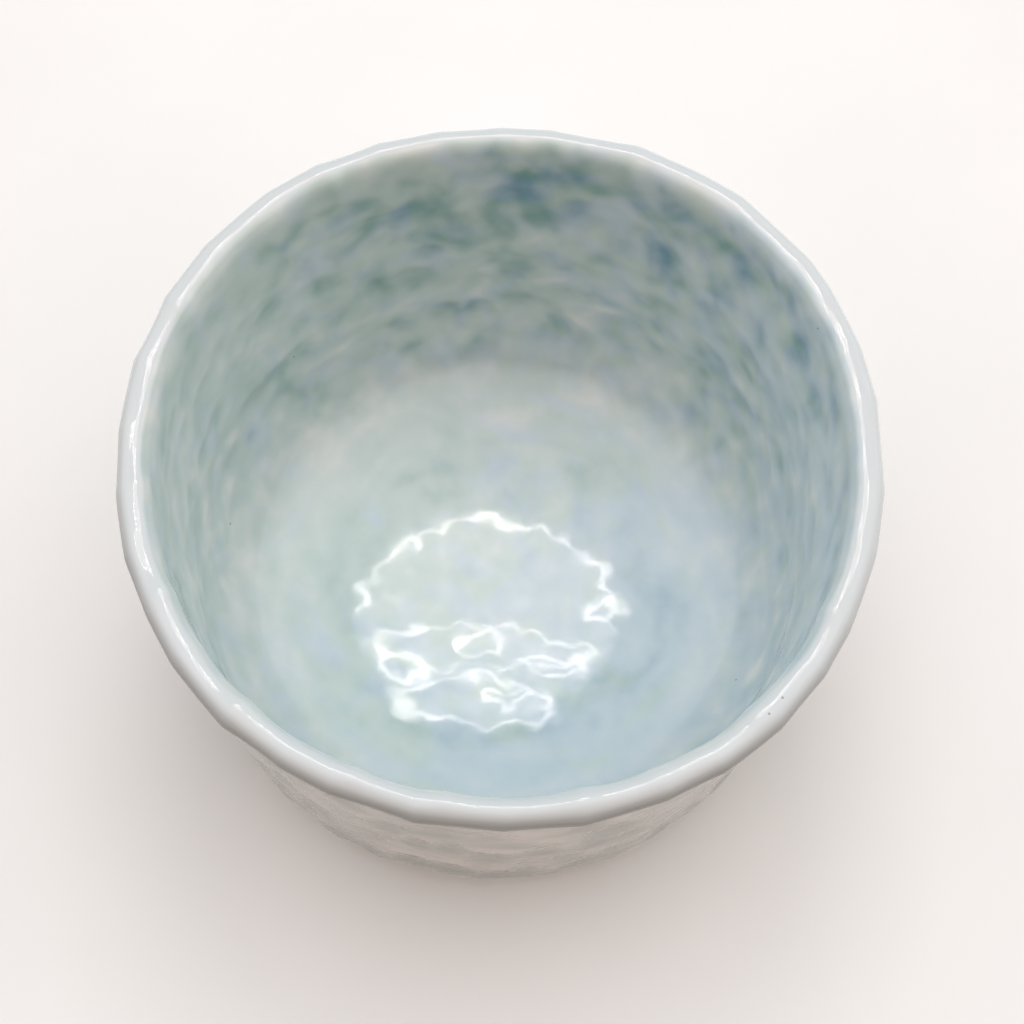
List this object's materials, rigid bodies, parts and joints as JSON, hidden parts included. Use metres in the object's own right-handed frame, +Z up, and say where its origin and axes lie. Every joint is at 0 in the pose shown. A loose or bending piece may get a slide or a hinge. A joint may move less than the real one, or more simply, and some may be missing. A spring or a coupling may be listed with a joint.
{
  "type": "tea bowl",
  "caption": "Straight-sided hand-carved tea bowl with a rolled lip and a low foot ring, glazed inside and out, for whisking and drinking tea.",
  "frame": {"origin": "centre of the foot ring's standing face, on the table", "axes": "+Z up out of the mouth; -Y is the side nearest the viewer in the picture; +X is the viewer's right"},
  "size_m": [0.1192, 0.1189, 0.075],
  "materials": {
    "clay": "fired stoneware, hidden under the glaze",
    "foot_clay": "bare fired clay, matt, turned",
    "glaze": "glossy pale blue-green celadon, deeper in colour where it pools",
    "thin_glaze": "the same glossy glaze, run thin and pale over the lip"
  },
  "bodies": {
    "root": {"clay_body": "clay", "foot_ring": "foot_clay", "inner_glaze": "glaze", "lip_glaze": "thin_glaze", "outer_glaze": "glaze", "base_glaze": "glaze"}
  },
  "joints": []
}
